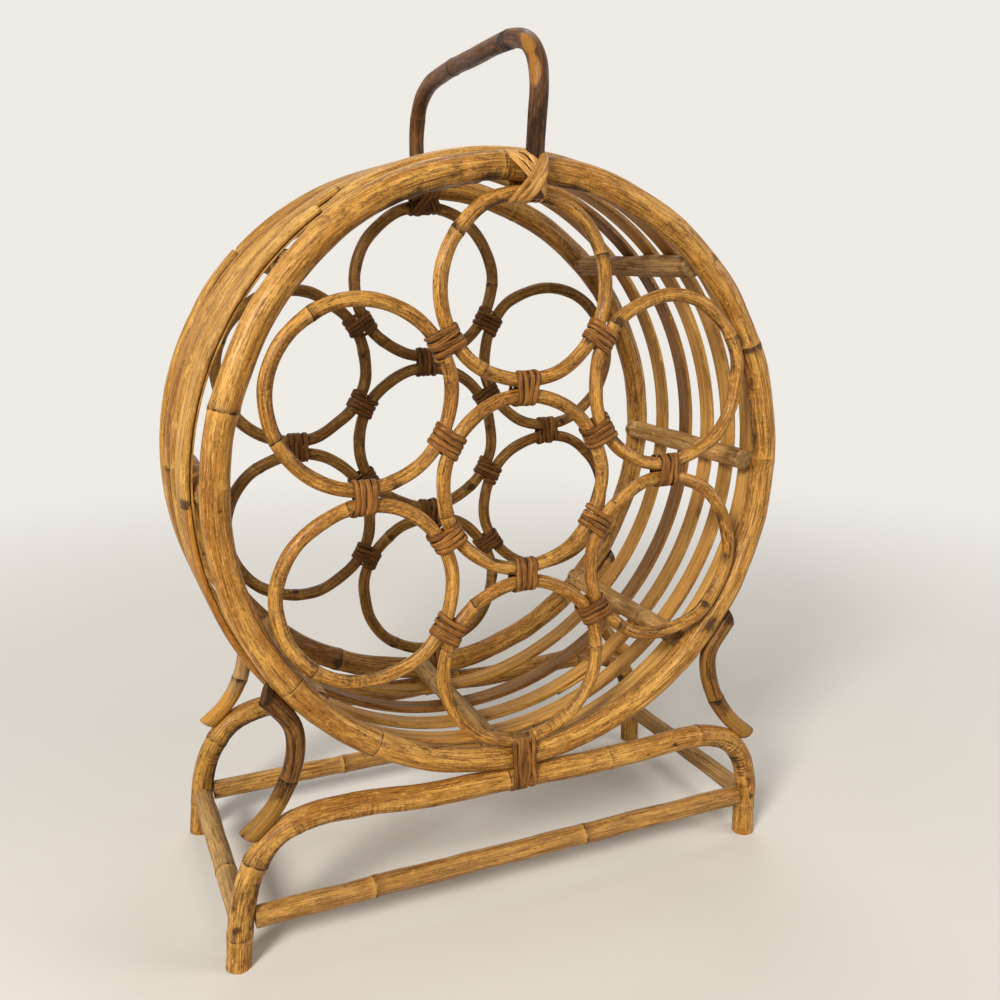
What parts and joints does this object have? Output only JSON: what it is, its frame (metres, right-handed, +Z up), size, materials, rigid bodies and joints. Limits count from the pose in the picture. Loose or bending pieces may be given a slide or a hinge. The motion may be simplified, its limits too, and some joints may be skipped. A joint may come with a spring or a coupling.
{
  "type": "wine bottle basket",
  "caption": "Bent rattan drum on a low arched stand that holds wine bottles lying down in cane rings, with a lashed carrying handle.",
  "frame": {"origin": "on the ground, in the middle of the four feet", "axes": "+Z up, -Y towards the front grille, +X to the right as seen from the front"},
  "size_m": [0.3677, 0.1987, 0.5095],
  "materials": {
    "hoop_pole": "varnished honey rattan pole, satin, dark streaks and cane nodes",
    "stand_pole": "varnished honey rattan pole, satin, dark streaks and cane nodes",
    "ring_cane": "varnished golden rattan cane, satin",
    "dark_ring_cane": "aged brown rattan cane, satin",
    "slat_cane": "split cane, satin, pale reddish brown with dark edges",
    "strut_cane": "weathered grey brown cane, matt",
    "brace_cane": "dark brown cane, satin",
    "handle_cane": "dark red brown cane with a worn golden patch, satin",
    "red_lashing": "reddish brown split cane strip, satin",
    "straw_lashing": "straw coloured split cane strip, matt"
  },
  "bodies": {
    "root": {"back_arch": "stand_pole", "back_base_lashing": "red_lashing", "back_handle_lashing": "straw_lashing", "back_hoop": "hoop_pole", "back_left_brace": "brace_cane", "back_right_brace": "brace_cane", "back_ring_bottom": "dark_ring_cane", "back_ring_centre": "dark_ring_cane", "back_ring_lower_left": "dark_ring_cane", "back_ring_lower_right": "dark_ring_cane", "back_ring_top": "dark_ring_cane", "back_ring_upper_left": "dark_ring_cane", "back_ring_upper_right": "dark_ring_cane", "back_stretcher": "stand_pole", "front_arch": "stand_pole", "front_base_lashing": "red_lashing", "front_handle_lashing": "straw_lashing", "front_hoop": "hoop_pole", "front_lashing_centre_bottom": "red_lashing", "front_lashing_centre_lower_left": "red_lashing", "front_lashing_centre_lower_right": "red_lashing", "front_lashing_centre_top": "red_lashing", "front_lashing_centre_upper_left": "red_lashing", "front_lashing_centre_upper_right": "red_lashing", "front_lashing_rim_bottom": "red_lashing", "front_lashing_rim_lower_left": "red_lashing", "front_lashing_rim_lower_right": "red_lashing", "front_lashing_rim_top": "red_lashing", "front_lashing_rim_upper_left": "red_lashing", "front_lashing_rim_upper_right": "red_lashing", "front_left_brace": "brace_cane", "front_right_brace": "brace_cane", "front_ring_bottom": "ring_cane", "front_ring_centre": "ring_cane", "front_ring_lower_left": "ring_cane", "front_ring_lower_right": "ring_cane", "front_ring_top": "ring_cane", "front_ring_upper_left": "ring_cane", "front_ring_upper_right": "ring_cane", "front_stretcher": "stand_pole", "handle": "handle_cane", "left_stretcher": "stand_pole", "right_stretcher": "stand_pole", "slat_1": "slat_cane", "slat_2": "slat_cane", "slat_3": "slat_cane", "slat_4": "slat_cane", "slat_5": "slat_cane", "strut_1": "strut_cane", "strut_2": "strut_cane", "strut_3": "strut_cane", "strut_4": "strut_cane", "strut_5": "strut_cane", "strut_6": "strut_cane", "strut_7": "strut_cane", "strut_8": "strut_cane"}
  },
  "joints": []
}
